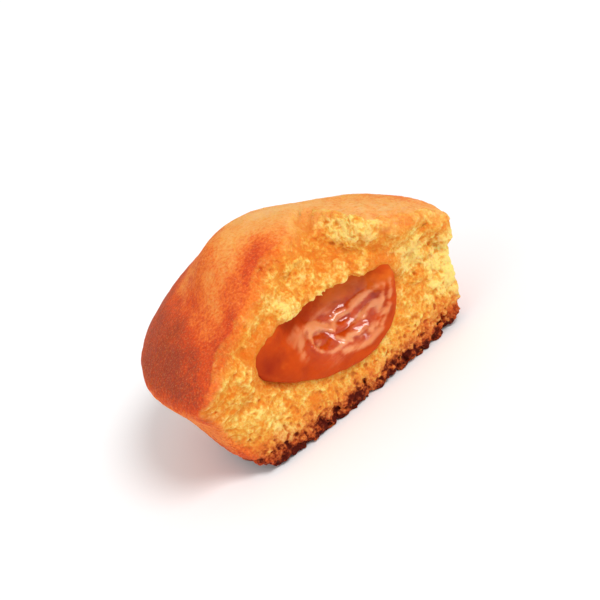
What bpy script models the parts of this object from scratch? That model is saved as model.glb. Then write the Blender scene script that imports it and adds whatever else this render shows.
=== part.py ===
"""Fruit muffin, torn open: one large piece of a jam-filled muffin, standing on its base.

Two solids: the cake, with its crown, side wall and craggy torn face, and the jam filling that lies in a
pocket at its heart. The origin is where the muffin's own axis meets the base plane, +Z runs up that axis,
and the torn face looks towards -Y. The shape functions work in millimetres, and every mesh is scaled to
metres as it is made.
"""

import math

import bmesh
import bpy
from mathutils import Vector, noise

MM = 0.001

# Side wall and base
BASE_RADIUS = 26.4
BASE_ROUNDING = 5.2
WALL_TOP_RADIUS = 31.3
RIM_HEIGHT = 21.0
RIM_RADIUS = 32.8
RIM_FLARE_START = 15.5
WALL_WOBBLE = 0.4
CROWN_SHIFT = -1.6

# Crown
SHOULDER_RISE = 8.6
SHOULDER_LEAN = 1.0
SHOULDER_FULLNESS = 3.2
SHOULDER_EDGE = 0.58
PEAK_RISE = 8.9
PEAK_X = -4.6
PEAK_Y = 6.0
PEAK_SPREAD = 15.0
PEAK_SLOPE = 9.5
PEAK_SLOPE_WIDTH = 24.0
FOLD_DEPTH = 1.6
FOLD_RADIUS = 18.0
FOLD_WIDTH = 3.6
FOLD_ANGLE = math.radians(158.0)
FOLD_SWEEP = math.radians(62.0)
CROWN_WOBBLE = 0.5

# Torn face
TEAR_DEPTH = -7.4
TEAR_LEAN_START = 24.0
TEAR_LEAN = 0.24
TEAR_GRID = 0.88
CRAG_SIZE = 7.5
CRAG_RELIEF = 1.2
CLUMP_SIZE = 3.3
CLUMP_RELIEF = 0.9
PORED_HEIGHT = 9.0
# Swells and hollows of the tear: x, z, half width, half height, and depth back into the muffin
TEAR_SWELLS = (
    (-28.0, 26.0, 7.5, 7.0, -4.2),
    (-16.0, 32.0, 7.5, 4.5, -2.8),
    (-7.5, 26.6, 3.4, 2.4, -1.3),
    (-30.0, 8.0, 4.5, 7.0, 2.2),
)
# Ridges and valleys of the tear: x, z at either end, half width, and depth back into the muffin
TEAR_RIDGES = (
    (16.0, 18.8, 20.3, 24.5, 1.8, -1.3),
    (20.5, 18.9, 25.8, 23.6, 1.7, 1.5),
    (-22.2, 22.6, -21.3, 12.5, 2.2, -1.1),
)
# Bay in the open crown, and the lobe of crust that stands in front of it on the right
BAY_X = 8.5
BAY_Z = 37.0
BAY_HALF_WIDTH = 6.6
BAY_HALF_HEIGHT = 7.0
BAY_DEPTH = 7.2
LOBE_X = 9.2
LOBE_STEP = 3.6
LOBE_FORWARD = 3.9
LOBE_EDGE_HEIGHT = 32.0
LOBE_EDGE_SLOPE = 0.42
LOBE_UNDERCUT = 6.5
LOBE_TAPER = 20.0

# Pocket and jam
POCKET_CENTRE = (-2.9, -6.0, 22.6)
POCKET_HALF_WIDTH = 17.6
POCKET_DEPTH = 10.5
POCKET_DROP = 14.2
POCKET_CEILING = 1.8
POCKET_TILT = math.radians(-5.0)
POCKET_SKEW = 0.3
JAM_GAP = 0.3
JAM_GRID = 0.8
JAM_FRONT = -8.3
JAM_BAND_WIDTH = 2.6
JAM_BAND_ENDS = 0.82
JAM_HOLLOW = 6.4
JAM_EDGE_ROUND = 1.2

WALL_RINGS = 11
CROWN_RINGS = 17
SEGMENTS = 84


def smooth(t):
    """0 below 0, 1 above 1, and an even S between them."""
    t = min(max(t, 0.0), 1.0)
    return t * t * (3.0 - 2.0 * t)


def wobble(a, b):
    """A gentle unevenness between about -1 and 1 that repeats every full turn of a and b."""
    return 0.6 * math.sin(a + 1.3 * math.sin(b)) + 0.4 * math.sin(2.0 * b - a + 2.0)


def axis_x(z):
    """Where the middle of the muffin lies at height z: the crown baked a little to one side of the base."""
    return CROWN_SHIFT * smooth(z / RIM_HEIGHT)


def wall_radius(z, angle):
    """Radius of the side wall at height z: a rounded base edge, a straight taper and a flare into the rim."""
    radius = BASE_RADIUS + (WALL_TOP_RADIUS - BASE_RADIUS) * z / RIM_HEIGHT
    flare = smooth((z - RIM_FLARE_START) / (RIM_HEIGHT - RIM_FLARE_START))
    radius += (RIM_RADIUS - WALL_TOP_RADIUS) * flare
    if z < BASE_ROUNDING:
        radius -= BASE_ROUNDING - math.sqrt(max(BASE_ROUNDING**2 - (BASE_ROUNDING - z) ** 2, 0.0))
    return radius + WALL_WOBBLE * wobble(3.0 * angle, 2.0 * angle + 0.1 * z)


def crown_height(radius, angle):
    """Height of the crown at that radius: shoulders that fall to the rim, and a raised middle off centre.

    A shallow fold parts the left shoulder from the middle, where the crown rose a second time."""
    q = min(radius / RIM_RADIUS, 1.0)
    x, y = radius * math.cos(angle), radius * math.sin(angle)
    rise = SHOULDER_RISE - SHOULDER_LEAN * x / RIM_RADIUS
    shoulder = rise * (1.0 - q**SHOULDER_FULLNESS) ** SHOULDER_EDGE
    from_peak = math.hypot(x - PEAK_X, y - PEAK_Y)
    spread = PEAK_SPREAD + PEAK_SLOPE * smooth(0.5 + (x - PEAK_X) / PEAK_SLOPE_WIDTH)
    peak = PEAK_RISE * math.exp(-((from_peak / spread) ** 2))
    off_fold = abs(math.remainder(angle - FOLD_ANGLE, 2.0 * math.pi)) / FOLD_SWEEP
    fold = FOLD_DEPTH * math.exp(-(((radius - FOLD_RADIUS) / FOLD_WIDTH) ** 2)) * (1.0 - smooth(off_fold))
    uneven = CROWN_WOBBLE * wobble(0.22 * x, 0.19 * y)
    return RIM_HEIGHT + shoulder + (peak + uneven) * (1.0 - q**4) - fold


def bump(u, v):
    """A round hill that is 1 in the middle and all but gone two units away."""
    return math.exp(-(u * u + v * v))


def off_segment(x, z, x0, z0, x1, z1):
    """Distance of a point from the segment between two others."""
    dx, dz = x1 - x0, z1 - z0
    t = min(max(((x - x0) * dx + (z - z0) * dz) / (dx * dx + dz * dz), 0.0), 1.0)
    return math.hypot(x - x0 - t * dx, z - z0 - t * dz)


def lumps(x, z, size, seed):
    """Rounded clumps of about that size, from 0 in the creases between them to 1 at their tops."""
    nearest = noise.voronoi(Vector((x / size, seed, z / size)))[0][0]
    return 1.0 - min(nearest / 0.75, 1.0) ** 2


def tear_form(x, z):
    """Depth (y) of the torn face without its crumb."""
    y = TEAR_DEPTH + TEAR_LEAN * max(z - TEAR_LEAN_START, 0.0)
    for cx, cz, half_x, half_z, depth in TEAR_SWELLS:
        y += depth * bump((x - cx) / half_x, (z - cz) / half_z)
    for x0, z0, x1, z1, half, depth in TEAR_RIDGES:
        y += depth * bump(off_segment(x, z, x0, z0, x1, z1) / half, 0.0)
    in_lobe = smooth((x - LOBE_X) / LOBE_STEP)
    y += BAY_DEPTH * bump((x - BAY_X) / BAY_HALF_WIDTH, (z - BAY_Z) / BAY_HALF_HEIGHT) * (1.0 - in_lobe)
    edge = LOBE_EDGE_HEIGHT - LOBE_EDGE_SLOPE * (x - LOBE_X)
    forward = LOBE_FORWARD * smooth((z - edge) / LOBE_UNDERCUT + 1.0)
    return y - forward * in_lobe * math.exp(-(((x - LOBE_X) / LOBE_TAPER) ** 2))


def tear(x, z):
    """Depth (y) of the torn face, with crags and clumps that lie flatter in the dense crumb by the base."""
    fluffy = 0.25 + 0.75 * smooth((z - PORED_HEIGHT) / 5.0)
    crags = CRAG_RELIEF * noise.noise(Vector((x / CRAG_SIZE, 7.7, z / CRAG_SIZE)))
    clumps = CLUMP_RELIEF * (lumps(x, z, CLUMP_SIZE, 2.3) - 0.5)
    return tear_form(x, z) - fluffy * (crags + clumps)


def pocket_point(u, w, v):
    """A point of the pocket's own frame (u along its width, w up, v back), turned and placed in the muffin."""
    turn_cos, turn_sin = math.cos(POCKET_TILT), math.sin(POCKET_TILT)
    x, y, z = POCKET_CENTRE
    return Vector((x + u * turn_cos - w * turn_sin, y + v, z + u * turn_sin + w * turn_cos))


def pocket_frame(x, z):
    """(u, w) of the pocket's own frame for a point on the torn face."""
    turn_cos, turn_sin = math.cos(POCKET_TILT), math.sin(POCKET_TILT)
    dx, dz = x - POCKET_CENTRE[0], z - POCKET_CENTRE[2]
    return dx * turn_cos + dz * turn_sin, dz * turn_cos - dx * turn_sin


def across_pocket(u):
    """Place across the pocket as -1 to 1, counted so that 0 is where the pocket is deepest."""
    t = min(max(u / POCKET_HALF_WIDTH, -1.0), 1.0)
    return (t - POCKET_SKEW) / (1.0 - POCKET_SKEW * t)


def jam_surface(x, z):
    """Depth (y) of the jam's free surface: a smooth rounded band along the bottom, and a hollow behind it."""
    u, w = pocket_frame(x, z)
    across, below = across_pocket(u), min(w, 0.0)
    outer = across**2 + (below / POCKET_DROP) ** 2
    inner = (across / JAM_BAND_ENDS) ** 2 + (below / (POCKET_DROP - JAM_BAND_WIDTH)) ** 2
    return JAM_FRONT + JAM_EDGE_ROUND * smooth((outer - 0.8) / 0.4) + JAM_HOLLOW * smooth(1.0 - inner)


def mesh_object(name, bm, colour, roughness):
    """Closes off a bmesh in millimetres as an object in metres, with its own material."""
    bmesh.ops.recalc_face_normals(bm, faces=bm.faces)
    bmesh.ops.scale(bm, vec=(MM, MM, MM), verts=bm.verts)
    mesh = bpy.data.meshes.new(name)
    bm.to_mesh(mesh)
    bm.free()
    obj = bpy.data.objects.new(name, mesh)
    bpy.context.scene.collection.objects.link(obj)
    material = bpy.data.materials.new(name)
    material.use_nodes = True
    shader = material.node_tree.nodes["Principled BSDF"]
    shader.inputs["Base Color"].default_value = (*colour, 1.0)
    shader.inputs["Roughness"].default_value = roughness
    mesh.materials.append(material)
    return obj


def whole_muffin():
    """The muffin before it is torn: rings of points up the wall and over the crown, closed at both ends."""
    angles = [2.0 * math.pi * i / SEGMENTS for i in range(SEGMENTS)]
    heights = [RIM_HEIGHT * (i / WALL_RINGS) ** 1.35 for i in range(WALL_RINGS + 1)]
    radii = [RIM_RADIUS * math.cos(0.5 * math.pi * i / CROWN_RINGS) for i in range(1, CROWN_RINGS)]
    bm = bmesh.new()
    rings = []
    for z in heights:
        points = [(wall_radius(z, a), a) for a in angles]
        rings.append([bm.verts.new((axis_x(z) + r * math.cos(a), r * math.sin(a), z)) for r, a in points])
    for radius in radii:
        ring = []
        for a in angles:
            r = radius * wall_radius(RIM_HEIGHT, a) / RIM_RADIUS
            z = crown_height(radius, a)
            ring.append(bm.verts.new((CROWN_SHIFT + r * math.cos(a), r * math.sin(a), z)))
        rings.append(ring)
    for lower, upper in zip(rings, rings[1:]):
        for i in range(SEGMENTS):
            j = (i + 1) % SEGMENTS
            bm.faces.new((lower[i], lower[j], upper[j], upper[i]))
    bm.faces.new(list(reversed(rings[0])))
    top = bm.verts.new((CROWN_SHIFT, 0.0, crown_height(0.0, 0.0)))
    for i in range(SEGMENTS):
        bm.faces.new((rings[-1][i], rings[-1][(i + 1) % SEGMENTS], top))
    return bm


def relief_block(surface, x_range, z_range, step, back):
    """A block whose front face follows surface(x, z) and whose back is the plane y = back."""
    columns = round((x_range[1] - x_range[0]) / step)
    rows = round((z_range[1] - z_range[0]) / step)
    bm = bmesh.new()
    grid = []
    for j in range(rows + 1):
        z = z_range[0] + (z_range[1] - z_range[0]) * j / rows
        row = []
        for i in range(columns + 1):
            x = x_range[0] + (x_range[1] - x_range[0]) * i / columns
            row.append(bm.verts.new((x, surface(x, z), z)))
        grid.append(row)
    for j in range(rows):
        for i in range(columns):
            bm.faces.new((grid[j][i], grid[j][i + 1], grid[j + 1][i + 1], grid[j + 1][i]))
    rim = grid[0] + [row[-1] for row in grid[1:]] + grid[-1][-2::-1] + [row[0] for row in grid[-2:0:-1]]
    far = [bm.verts.new((v.co.x, back, v.co.z)) for v in rim]
    for i in range(len(rim)):
        j = (i + 1) % len(rim)
        bm.faces.new((rim[j], rim[i], far[i], far[j]))
    bm.faces.new(far)
    return bm


def pocket_body(inset):
    """The pocket as a closed rounded form: deep below its middle, with a low and flatter ceiling."""
    bm = bmesh.new()
    bmesh.ops.create_uvsphere(bm, u_segments=44, v_segments=24, radius=1.0)
    for vert in bm.verts:
        across, back, up = vert.co
        drop = POCKET_DROP if up < 0.0 else POCKET_CEILING
        u = (across + POCKET_SKEW) / (1.0 + POCKET_SKEW * across) * (POCKET_HALF_WIDTH - inset)
        v = back * (POCKET_DEPTH - inset)
        vert.co = pocket_point(u, up * (drop - inset), v)
    return bm


def boolean(target, tool, operation):
    """Applies one Boolean of tool on target, and hides tool as a cutter."""
    modifier = target.modifiers.new(operation.title(), "BOOLEAN")
    modifier.operation = operation
    modifier.solver = "EXACT"
    modifier.object = tool
    tool.hide_render = True
    tool.display_type = "WIRE"


def build():
    for obj in list(bpy.data.objects):
        bpy.data.objects.remove(obj)
    cake = mesh_object("cake", whole_muffin(), (0.88, 0.50, 0.13), 0.75)
    face = relief_block(tear, (-37.0, 37.0), (-3.0, 43.0), TEAR_GRID, 38.0)
    boolean(cake, mesh_object("torn_block", face, (0.9, 0.6, 0.2), 0.8), "INTERSECT")
    boolean(cake, mesh_object("pocket", pocket_body(0.0), (0.9, 0.6, 0.2), 0.8), "DIFFERENCE")

    jam = mesh_object("jam_filling", pocket_body(JAM_GAP), (0.80, 0.24, 0.03), 0.18)
    free = relief_block(jam_surface, (-24.0, 20.0), (4.0, 30.0), JAM_GRID, 12.0)
    boolean(jam, mesh_object("jam_block", free, (0.8, 0.3, 0.05), 0.3), "INTERSECT")
    for obj in (cake, jam):
        obj.data.shade_smooth()


build()
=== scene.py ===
"""Crumb, crust and jam of a torn, jam-filled muffin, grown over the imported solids.

Lengths are in millimetres up to the point where a mesh is made, because the crumb is a matter of
tenths of a millimetre. Properties that a user sees are in metres.
"""

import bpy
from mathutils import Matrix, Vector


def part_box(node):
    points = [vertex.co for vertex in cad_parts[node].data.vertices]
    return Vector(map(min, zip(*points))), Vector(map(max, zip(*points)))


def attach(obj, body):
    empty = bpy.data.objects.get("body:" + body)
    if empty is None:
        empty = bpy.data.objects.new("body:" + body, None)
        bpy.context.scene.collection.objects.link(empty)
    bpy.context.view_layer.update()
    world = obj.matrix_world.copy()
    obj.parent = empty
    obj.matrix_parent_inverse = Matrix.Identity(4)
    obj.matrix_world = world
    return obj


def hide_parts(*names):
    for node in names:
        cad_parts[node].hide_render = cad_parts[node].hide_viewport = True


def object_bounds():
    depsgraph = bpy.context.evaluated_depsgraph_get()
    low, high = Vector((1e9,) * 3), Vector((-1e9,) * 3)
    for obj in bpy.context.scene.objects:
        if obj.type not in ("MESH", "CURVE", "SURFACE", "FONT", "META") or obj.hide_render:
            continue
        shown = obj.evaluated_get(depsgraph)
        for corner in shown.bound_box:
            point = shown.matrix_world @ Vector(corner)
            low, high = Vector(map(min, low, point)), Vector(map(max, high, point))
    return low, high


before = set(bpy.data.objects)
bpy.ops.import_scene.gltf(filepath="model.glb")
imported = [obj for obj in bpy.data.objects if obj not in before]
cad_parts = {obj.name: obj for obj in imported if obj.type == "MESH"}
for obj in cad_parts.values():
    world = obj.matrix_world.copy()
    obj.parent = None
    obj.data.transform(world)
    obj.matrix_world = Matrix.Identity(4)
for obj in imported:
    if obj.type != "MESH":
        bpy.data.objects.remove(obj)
CAD_BOX = [list(corner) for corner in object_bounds()]

import math

import bpy
import numpy as np
from bpy.props import FloatProperty, FloatVectorProperty, IntProperty, PointerProperty
from mathutils import Matrix, Vector
from mathutils.bvhtree import BVHTree

bl_info = {
    "name": "Jam muffin finish",
    "version": (1, 0, 0),
    "blender": (4, 5, 0),
    "location": "3D View > Sidebar > Muffin",
    "description": "Grows crumb, crust and jam over the solids of a torn muffin",
    "category": "Object",
}

MM = 0.001

# Farther than any two points of the muffin are apart, in mm.
FAR = 99.0

# The whole muffin's form before it was torn, in mm, about a vertical axis that leans a little.
BASE_RADIUS = 26.4
BASE_ROUNDING = 5.2
WALL_TOP_RADIUS = 31.3
RIM_HEIGHT = 21.0
RIM_RADIUS = 32.8
RIM_FLARE_START = 15.5
WALL_WOBBLE = 0.4
CROWN_SHIFT = -1.6
SHOULDER_RISE = 8.6
SHOULDER_LEAN = 1.0
SHOULDER_FULLNESS = 3.2
SHOULDER_EDGE = 0.58
PEAK_RISE = 8.9
PEAK_X = -4.6
PEAK_Y = 6.0
PEAK_SPREAD = 15.0
PEAK_SLOPE = 9.5
PEAK_SLOPE_WIDTH = 24.0
FOLD_DEPTH = 1.6
FOLD_RADIUS = 18.0
FOLD_WIDTH = 3.6
FOLD_ANGLE = math.radians(158)
FOLD_SWEEP = math.radians(62)
CROWN_WOBBLE = 0.5
SLOPE_STEP = 0.4

# Lattices, in mm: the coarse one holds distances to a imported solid, the fine one carries the crumb. What
# was torn away is judged over so many points of the coarse one, and a bulge by distances up to a reach.
COARSE_PITCH = 0.8
TORN_REACH = 3
BULGE_REACH = 0.6
REACH = 3.0
FINE_PITCH = 0.25
FINE_FRONT = -3.0
SPREAD_AT_BACK = 3.6
SPREAD_LENGTH = 28.0
LATTICE_CENTRE_X = -1.4
NEAR_SURFACE = 1.7
MOST_TRIANGLES = 196000

# A ray through a solid runs beside the lattice's lines by a part of the pitch, so that it misses the
# mesh's edges, and goes on from a little past each hit, in mm.
RAY_NUDGE = 0.0137
PAST_HIT = 0.0001

# The crown's wrinkles run along x and are close together across it.
WRINKLE_STRETCH = np.array(((0.55, 0.35, 0.0), (-0.4, 1.5, 0.0), (0.0, 0.0, 1.0)), np.float32)

# The dark shoulder's streaks run along its edge.
SHOULDER_STREAKS = np.array(((1.3, 0.2, 0.0), (-0.68, 0.35, 0.0), (0.0, 0.0, 0.6)), np.float32)

# How far the skin broke up beside the tear: everywhere, and more at places with a radius in mm.
LOOSE_EDGE = 0.45
CRUMBLY_SKIN = (
    ((10.5, -3.5, 32.5), 6.5),
    ((14.5, -8.5, 30.0), 5.0),
    ((21.5, -9.0, 27.0), 5.0),
    ((29.5, -4.0, 14.0), 7.5),
    ((26.5, -5.0, 6.0), 5.0),
    ((-24.0, -10.5, 28.0), 3.0),
    ((-17.5, -8.5, 31.5), 3.0),
    ((-11.5, -7.0, 34.0), 3.2),
    ((-5.0, -5.0, 36.2), 3.2),
)

# Middle and radius of the lobe of crust beside the bay, in mm.
LOBE = ((17.5, -5.5, 29.5), 8.5)

# Lumps of crumb, as chains of points with a radius in mm: hoods over the pocket's upper corners, the ledge
# left of the lobe and its left flank, what fills the groove and the crease under the lobe, and the rounded
# lip below the lobe's tip.
CRUMB_LUMPS = (
    (((-20.3, -7.6, 22.0), (-18.6, -7.8, 24.2), (-13.5, -7.2, 25.0)), 1.4),
    (((15.2, -7.2, 19.8), (13.9, -7.2, 22.0), (9.5, -6.6, 23.6)), 1.2),
    (((9.6, 0.2, 32.6), (10.3, -3.4, 31.9), (12.0, -8.3, 30.2)), 0.9),
    (((8.0, -0.6, 31.8), (9.2, -3.0, 30.6), (10.4, -5.8, 29.4)), 1.4),
    (((21.4, -5.6, 18.0), (23.8, -6.0, 20.6), (26.6, -6.6, 20.8)), 2.2),
    (((22.4, -7.2, 21.8), (25.8, -7.6, 22.2)), 1.7),
    (((28.0, -7.8, 20.4), (27.7, -7.4, 18.3)), 1.6),
)
LUMP_SOFTNESS = 1.8

# Places on the torn face, with a radius in mm: warm orange above 0, pale lemon below 0.
CRUMB_TONES = (
    ((-25.0, -10.6, 24.2), 2.6, -0.5),
    ((-24.0, -10.0, 28.8), 3.0, 0.8),
    ((-14.0, -6.5, 33.0), 3.6, 0.8),
    ((-5.0, -5.5, 35.2), 3.0, 0.6),
    ((7.4, 1.0, 33.8), 3.4, 0.9),
    ((4.4, -3.1, 31.0), 4.0, 0.7),
    ((16.0, -8.0, 25.0), 5.0, 0.25),
    ((25.7, -7.6, 21.2), 3.0, 0.5),
    ((-7.0, -8.3, 25.9), 3.0, -0.9),
    ((-12.3, -7.3, 26.3), 3.0, -0.5),
    ((9.3, -1.3, 31.9), 1.8, -1.4),
    ((9.4, -3.6, 30.0), 2.4, -1.1),
    ((11.0, -5.8, 30.9), 2.0, -1.4),
    ((12.6, -8.5, 30.2), 2.0, -1.2),
    # Warm orange on the shaded flank under the ledge's end: a painted shade.
    ((13.5, -8.6, 26.8), 2.4, 0.6),
    ((20.6, -5.7, 19.8), 4.4, -2.4),
    ((-9.0, -7.5, 28.5), 2.6, -0.7),
    ((1.5, -7.0, 26.5), 2.4, -0.8),
    # Paler lemon on the lip's shaded underside: painted light.
    ((27.4, -7.6, 18.6), 2.0, -0.8),
    ((26.7, -7.1, 12.5), 5.0, -1.1),
    ((23.9, -7.6, 8.7), 4.0, -0.5),
    ((-23.2, -8.7, 17.8), 4.0, -0.1),
    ((-26.8, -7.3, 13.5), 3.0, -0.7),
    ((24.6, -7.1, 20.3), 2.0, 1.6),
    ((22.0, -6.9, 17.4), 1.8, 1.5),
    ((19.5, -7.9, 15.0), 1.8, 1.0),
    ((-20.0, -8.0, 9.0), 3.5, -0.5),
    ((6.0, -8.0, 8.0), 3.5, -0.5),
)

# Places on the skin, with a radius in mm: browner above 0, paler below 0. A long one also has a direction
# and its length that way.
BROWNED_SPOTS = (
    ((-29.0, 0.0, 27.0), 8.0, 0.1),
    ((-24.5, -10.0, 28.8), 3.6, 0.15),
    ((-33.0, -8.0, 21.3), 4.0, 0.14),
    ((-31.5, -8.0, 18.6), 2.0, 0.2, (0.2, 0.0, 1.0), 3.5),
    ((-15.5, 1.5, 34.5), 1.8, -0.12, (-0.66, -0.75, -0.3), 8.0),
    ((-8.1, -4.1, 36.2), 4.2, 0.42, (1.0, 0.45, 0.3), 7.5),
    ((-20.0, -7.0, 31.0), 3.0, 0.14, (0.9, 0.15, 0.5), 9.0),
    ((5.5, 6.5, 36.5), 7.0, -0.2),
    ((-1.6, 5.4, 38.2), 4.0, 0.1),
    ((18.0, -4.0, 30.0), 6.0, -0.14),
    ((29.0, 3.0, 25.0), 7.0, 0.18),
)

JAM_COARSE_PITCH = 0.6
JAM_PITCH = 0.24
JAM_MARGIN = 2.0
JAM_STRETCH = np.array(((0.5, 0.0, 0.5), (0.0, 1.0, 0.0), (-0.5, 0.0, 1.4)), np.float32)

# Places on the jam, laid out as for the skin: the hollow, the ends that get a painted shade and the thin film
# at the top.
JAM_HOLLOW = (((1.5, -5.5, 15.5), 5.2, 1.0, (1.0, 0.0, 0.12), 11.0),)
JAM_SHADED_ENDS = (((-16.5, -6.5, 19.0), 3.4, 1.0), ((12.6, -5.0, 18.6), 2.6, 0.7))
JAM_FILM = (((6.5, -3.5, 20.6), 2.6, 1.0, (1.0, 0.0, 0.1), 8.0), ((11.6, -6.5, 18.8), 3.0, 0.8))

# Folds in the jam's surface, seen from the front: points (x, z), height and half width in mm.
JAM_FOLDS = (
    (((-10.0, 19.6), (-7.0, 19.9), (-4.8, 19.2), (-2.5, 17.8), (-0.4, 15.8)), 0.38, 0.7),
    (((-0.4, 15.8), (2.0, 16.9), (4.6, 16.5), (7.0, 17.3), (10.4, 18.4)), 0.36, 0.6),
    (((-6.1, 16.7), (-4.6, 18.1), (-2.2, 17.2), (-0.7, 15.5)), 0.22, 0.4),
    (((-6.3, 16.4), (-5.6, 15.0), (-4.0, 13.9), (-2.2, 13.3), (-0.3, 13.5)), 0.24, 0.45),
    (((-1.6, 12.4), (0.8, 11.4), (3.6, 10.8), (7.1, 11.5)), 0.3, 0.7),
    (((6.4, 12.6), (8.4, 13.8), (10.8, 14.6)), 0.25, 0.4),
    (((5.6, 14.6), (7.8, 15.6), (10.0, 16.2)), 0.2, 0.4),
    (((5.2, 12.4), (7.6, 14.0), (9.8, 15.9), (11.4, 18.6)), 0.36, 0.5),
    (((-9.4, 17.4), (-8.2, 18.8), (-7.0, 20.4)), 0.14, 1.3),
    (((-1.4, 15.2), (-0.6, 14.2), (0.9, 13.0)), 0.22, 0.4),
    (((0.8, 13.8), (3.0, 13.0), (5.0, 13.4)), 0.22, 0.45),
    (((7.4, 12.2), (9.6, 13.6), (11.6, 16.2), (13.0, 19.0)), 0.2, 0.5),
    (((-10.4, 20.9), (-8.0, 20.4)), 0.12, 1.2),
)


# ----------
# Properties
# ----------
def colour(name, description, default):
    """A colour property in linear values."""
    return FloatVectorProperty(
        name=name, description=description, default=default, subtype="COLOR", size=3, min=0.0, max=1.0
    )


def length(name, description, default):
    """A length property in metres."""
    return FloatProperty(name=name, description=description, default=default, unit="LENGTH")


def degrees(name, description, default):
    """An angle property with its default in degrees."""
    return FloatProperty(name=name, description=description, default=math.radians(default), subtype="ANGLE")


class CrumbSettings(bpy.types.PropertyGroup):
    """Sizes and colours of the torn crumb."""

    puff_size: length("Puff size", "Distance between the crumb's puffs", 0.0016)
    puff_relief: length("Puff relief", "Height of a puff over the creases round it", 0.00025)
    grain_size: length("Grain size", "Distance between the grains on a puff", 0.00075)
    grain_relief: length("Grain relief", "Height of a grain", 0.00031)
    pore_size: length("Pore size", "Largest radius of an air bubble", 0.0005)
    seed: IntProperty(name="Seed", description="Seed of the crumb's random form", default=7)
    # Lemon over tops and middle to hollows: the crumb's own tones, and a painted shade that puts the lighter
    # ones on bulges and the orange ones in hollows.
    lemon: colour("Lemon", "Colour of the palest crumb", (0.93, 0.7, 0.21))
    top: colour("Tops", "Colour of the crumb's light tops", (0.88, 0.51, 0.11))
    middle: colour("Middle", "Colour of most crumb", (0.84, 0.37, 0.056))
    hollow: colour("Hollows", "Colour of the crumb's hollows", (0.81, 0.22, 0.02))
    stained: colour("Stained", "Colour of crumb that soaked up jam", (0.76, 0.17, 0.012))
    toasted: colour("Toasted", "Colour of the crumb near the base", (0.74, 0.26, 0.055))
    # A painted shade in the crumb's pores near the base.
    pore_shade: colour("Pores", "Colour of the dark pores near the base", (0.54, 0.11, 0.018))
    ember: colour("Upper crags", "Colour of the crags where the burnt edge begins", (0.64, 0.115, 0.024))
    crag: colour("Crags", "Colour of the burnt edge's crags", (0.45, 0.048, 0.01))
    burnt: colour("Burnt", "Colour of the burnt edge's hollows", (0.08, 0.006, 0.003))


class CrustSettings(bpy.types.PropertyGroup):
    """Colours of the browned skin."""

    pale: colour("Pale crust", "Colour where the crust browned least", (0.93, 0.48, 0.17))
    golden: colour("Golden crust", "Colour of the dome", (0.9, 0.35, 0.08))
    orange: colour("Orange crust", "Colour where the dome turns to the shoulder", (0.86, 0.185, 0.03))
    red: colour("Red crust", "Colour where the crust is close to brown", (0.7, 0.08, 0.016))
    brown: colour("Brown crust", "Colour of the darkest shoulder", (0.38, 0.055, 0.022))


class JamSettings(bpy.types.PropertyGroup):
    """Sizes and colours of the filling."""

    overlap: length("Overlap", "How far the jam soaks into the crumb", 0.0006)
    wrinkle: length("Wrinkle", "Height of the fine wrinkles", 0.00042)
    seed: IntProperty(name="Seed", description="Seed of the jam's random form", default=23)
    bright: colour("Bright jam", "Colour of the band in front", (0.57, 0.062, 0.0015))
    # Deep jam is a painted shade, in the jam's hollows and at its ends.
    painted_shade: colour("Deep jam", "Colour in the hollow", (0.32, 0.02, 0.002))
    # Pale jam is a painted sheen along the folds and in streaks over the glossy hollow.
    pale: colour("Pale jam", "Colour of the folds' thin jelly", (0.74, 0.28, 0.11))
    amber: colour("Amber jam", "Colour of the thin film below the upper crumb", (0.7, 0.14, 0.01))


class StageSettings(bpy.types.PropertyGroup):
    """Light and camera."""

    key_strength: FloatProperty(name="Key light", description="Strength of the wide soft light", default=1.75)
    fill_strength: FloatProperty(
        name="Fill light", description="Strength of the light on the other side", default=0.42
    )
    world_light: FloatProperty(name="Room light", description="Strength of the even light", default=0.64)
    lens: FloatProperty(name="Lens", description="Focal length", default=100.0, unit="CAMERA")
    azimuth: degrees("Azimuth", "Heading of the view from +Y towards +X", 23)
    elevation: degrees("Elevation", "How far the view looks down", 28)
    roll: degrees("Roll", "Turn of the camera about its view", 26.6)
    distance: length("Distance", "From the camera to the muffin", 0.31667)
    aim: FloatVectorProperty(
        name="Aim", description="Point that the camera looks at",
        default=(0.000183, 0.003913, 0.019721), subtype="TRANSLATION"
    )


# ----------
# Numbers on lattices
# ----------
def smooth(value):
    """A soft step from 0 to 1."""
    value = np.clip(value, 0.0, 1.0)
    return value * value * (3.0 - 2.0 * value)


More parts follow.
